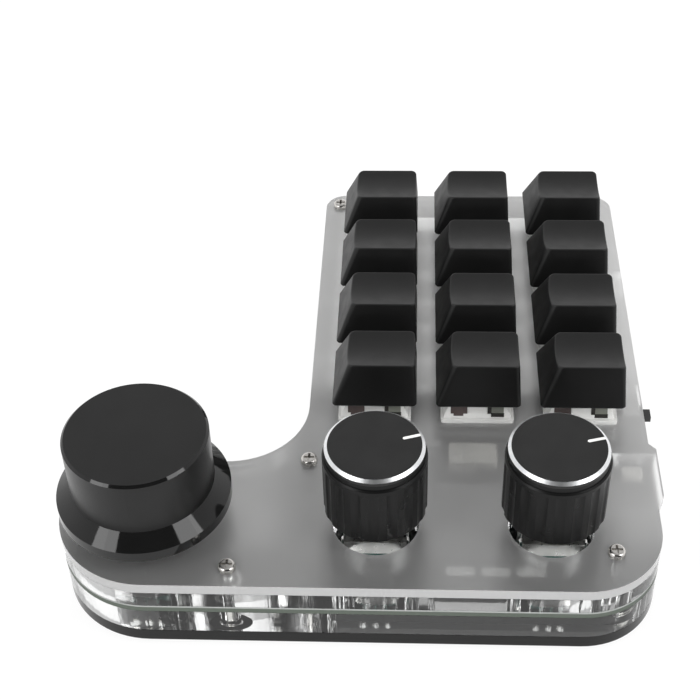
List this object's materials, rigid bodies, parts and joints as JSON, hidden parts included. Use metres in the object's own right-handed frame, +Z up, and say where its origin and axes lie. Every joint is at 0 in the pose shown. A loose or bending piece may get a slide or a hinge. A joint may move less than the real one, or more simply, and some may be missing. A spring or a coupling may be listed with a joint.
{
  "type": "macro keypad",
  "caption": "L-shaped desktop keypad of stacked acrylic sheets with mechanical keys in a grid, two fluted push-and-turn knobs and a large push-and-turn dial.",
  "frame": {"origin": "middle of the footprint's bounding box at the underside of the rubber feet", "axes": "+X to the user's right, +Y away from the user towards the socket edge, +Z up from the desk"},
  "size_m": [0.128, 0.1234, 0.0415],
  "materials": {
    "acrylic_frosted": "frosted on both faces, polished edge",
    "acrylic_clear": "clear, polished",
    "board_black": "black solder mask, grey-green cut edge",
    "base_black": "opaque black, polished",
    "rubber_black": "matte",
    "screw_nickel": "nickel plated",
    "standoff_metal": "nickel plated brass, satin",
    "switch_white": "milky, satin",
    "terminal_metal": "tinned",
    "spring_steel": "bright",
    "stem_brown": "satin",
    "keycap_black": "fine matte",
    "frame_zinc": "die cast, satin",
    "encoder_plastic": "moulded, satin",
    "dome_metal": "bright",
    "shaft_metal": "turned",
    "dial_black": "black anodised, glossy skirt and satin top",
    "set_screw_steel": "blackened",
    "knob_black": "satin",
    "knob_face": "black anodised, bright cut bevel and pointer line",
    "battery_wrap": "dark foil wrap",
    "lead_white": "insulated wire",
    "plug_white": "moulded",
    "usb_steel": "plated",
    "switch_case": "plated",
    "lever_black": "satin",
    "component_black": "moulded epoxy"
  },
  "bodies": {
    "case": {"top_plate": "acrylic_frosted", "upper_spacer": "acrylic_clear", "circuit_board": "board_black", "lower_spacer": "acrylic_clear", "base_plate": "base_black", "rubber_feet": "rubber_black", "top_screws": "screw_nickel", "bottom_screws": "screw_nickel", "standoffs": "standoff_metal", "switch_bottom_housings": "switch_white", "switch_top_housings": "switch_white", "switch_terminals": "terminal_metal", "switch_springs": "spring_steel", "encoder_frames": "frame_zinc", "encoder_bases": "encoder_plastic", "encoder_terminals": "terminal_metal", "encoder_domes": "dome_metal", "battery": "battery_wrap", "battery_lead": "lead_white", "battery_plug": "plug_white", "usb_socket": "usb_steel", "slide_switch_body": "switch_case", "board_components": "component_black"},
    "key_r1_c1": {"keycap_r1_c1": "keycap_black", "stem_r1_c1": "stem_brown"},
    "key_r1_c2": {"keycap_r1_c2": "keycap_black", "stem_r1_c2": "stem_brown"},
    "key_r1_c3": {"keycap_r1_c3": "keycap_black", "stem_r1_c3": "stem_brown"},
    "key_r1_c4": {"keycap_r1_c4": "keycap_black", "stem_r1_c4": "stem_brown"},
    "key_r2_c1": {"keycap_r2_c1": "keycap_black", "stem_r2_c1": "stem_brown"},
    "key_r2_c2": {"keycap_r2_c2": "keycap_black", "stem_r2_c2": "stem_brown"},
    "key_r2_c3": {"keycap_r2_c3": "keycap_black", "stem_r2_c3": "stem_brown"},
    "key_r2_c4": {"keycap_r2_c4": "keycap_black", "stem_r2_c4": "stem_brown"},
    "key_r3_c1": {"keycap_r3_c1": "keycap_black", "stem_r3_c1": "stem_brown"},
    "key_r3_c2": {"keycap_r3_c2": "keycap_black", "stem_r3_c2": "stem_brown"},
    "key_r3_c3": {"keycap_r3_c3": "keycap_black", "stem_r3_c3": "stem_brown"},
    "key_r3_c4": {"keycap_r3_c4": "keycap_black", "stem_r3_c4": "stem_brown"},
    "dial_turn": {"dial_rotor": "encoder_plastic"},
    "dial_push": {"dial": "dial_black", "dial_shaft": "shaft_metal", "dial_set_screw": "set_screw_steel"},
    "knob_1_turn": {"knob_1_rotor": "encoder_plastic"},
    "knob_1_push": {"knob_1": "knob_black", "knob_1_shaft": "shaft_metal", "knob_1_cap": "knob_face"},
    "knob_2_turn": {"knob_2_rotor": "encoder_plastic"},
    "knob_2_push": {"knob_2": "knob_black", "knob_2_shaft": "shaft_metal", "knob_2_cap": "knob_face"},
    "slide_lever": {"slide_switch_lever": "lever_black"}
  },
  "joints": [
    {"name": "key_r1_c1_press", "type": "slide", "parent": "case", "child": "key_r1_c1", "axis": [0, 0, -1], "range_m": [0, 0.004], "stiffness_N_per_m": 90, "springref_m": -0.0033, "deforming": ["switch_springs"]},
    {"name": "key_r1_c2_press", "type": "slide", "parent": "case", "child": "key_r1_c2", "axis": [0, 0, -1], "range_m": [0, 0.004], "stiffness_N_per_m": 90, "springref_m": -0.0033, "deforming": ["switch_springs"]},
    {"name": "key_r1_c3_press", "type": "slide", "parent": "case", "child": "key_r1_c3", "axis": [0, 0, -1], "range_m": [0, 0.004], "stiffness_N_per_m": 90, "springref_m": -0.0033, "deforming": ["switch_springs"]},
    {"name": "key_r1_c4_press", "type": "slide", "parent": "case", "child": "key_r1_c4", "axis": [0, 0, -1], "range_m": [0, 0.004], "stiffness_N_per_m": 90, "springref_m": -0.0033, "deforming": ["switch_springs"]},
    {"name": "key_r2_c1_press", "type": "slide", "parent": "case", "child": "key_r2_c1", "axis": [0, 0, -1], "range_m": [0, 0.004], "stiffness_N_per_m": 90, "springref_m": -0.0033, "deforming": ["switch_springs"]},
    {"name": "key_r2_c2_press", "type": "slide", "parent": "case", "child": "key_r2_c2", "axis": [0, 0, -1], "range_m": [0, 0.004], "stiffness_N_per_m": 90, "springref_m": -0.0033, "deforming": ["switch_springs"]},
    {"name": "key_r2_c3_press", "type": "slide", "parent": "case", "child": "key_r2_c3", "axis": [0, 0, -1], "range_m": [0, 0.004], "stiffness_N_per_m": 90, "springref_m": -0.0033, "deforming": ["switch_springs"]},
    {"name": "key_r2_c4_press", "type": "slide", "parent": "case", "child": "key_r2_c4", "axis": [0, 0, -1], "range_m": [0, 0.004], "stiffness_N_per_m": 90, "springref_m": -0.0033, "deforming": ["switch_springs"]},
    {"name": "key_r3_c1_press", "type": "slide", "parent": "case", "child": "key_r3_c1", "axis": [0, 0, -1], "range_m": [0, 0.004], "stiffness_N_per_m": 90, "springref_m": -0.0033, "deforming": ["switch_springs"]},
    {"name": "key_r3_c2_press", "type": "slide", "parent": "case", "child": "key_r3_c2", "axis": [0, 0, -1], "range_m": [0, 0.004], "stiffness_N_per_m": 90, "springref_m": -0.0033, "deforming": ["switch_springs"]},
    {"name": "key_r3_c3_press", "type": "slide", "parent": "case", "child": "key_r3_c3", "axis": [0, 0, -1], "range_m": [0, 0.004], "stiffness_N_per_m": 90, "springref_m": -0.0033, "deforming": ["switch_springs"]},
    {"name": "key_r3_c4_press", "type": "slide", "parent": "case", "child": "key_r3_c4", "axis": [0, 0, -1], "range_m": [0, 0.004], "stiffness_N_per_m": 90, "springref_m": -0.0033, "deforming": ["switch_springs"]},
    {"name": "dial_spin", "type": "hinge", "parent": "case", "child": "dial_turn", "pos_m": [0.04495, -0.04367, 0.01905], "axis": [0, 0, 1], "continuous": true},
    {"name": "dial_press", "type": "slide", "parent": "dial_turn", "child": "dial_push", "axis": [0, 0, -1], "range_m": [0, 0.0005], "stiffness_N_per_m": 1500, "springref_m": -0.001},
    {"name": "knob_1_spin", "type": "hinge", "parent": "case", "child": "knob_1_turn", "pos_m": [0.04695, 0.00252, 0.01905], "axis": [0, 0, 1], "continuous": true},
    {"name": "knob_1_press", "type": "slide", "parent": "knob_1_turn", "child": "knob_1_push", "axis": [0, 0, -1], "range_m": [0, 0.0005], "stiffness_N_per_m": 1500, "springref_m": -0.001},
    {"name": "knob_2_spin", "type": "hinge", "parent": "case", "child": "knob_2_turn", "pos_m": [0.04695, 0.03753, 0.01905], "axis": [0, 0, 1], "continuous": true},
    {"name": "knob_2_press", "type": "slide", "parent": "knob_2_turn", "child": "knob_2_push", "axis": [0, 0, -1], "range_m": [0, 0.0005], "stiffness_N_per_m": 1500, "springref_m": -0.001},
    {"name": "power_slide", "type": "slide", "parent": "case", "child": "slide_lever", "axis": [1, 0, 0], "range_m": [-0.003, 0]}
  ]
}
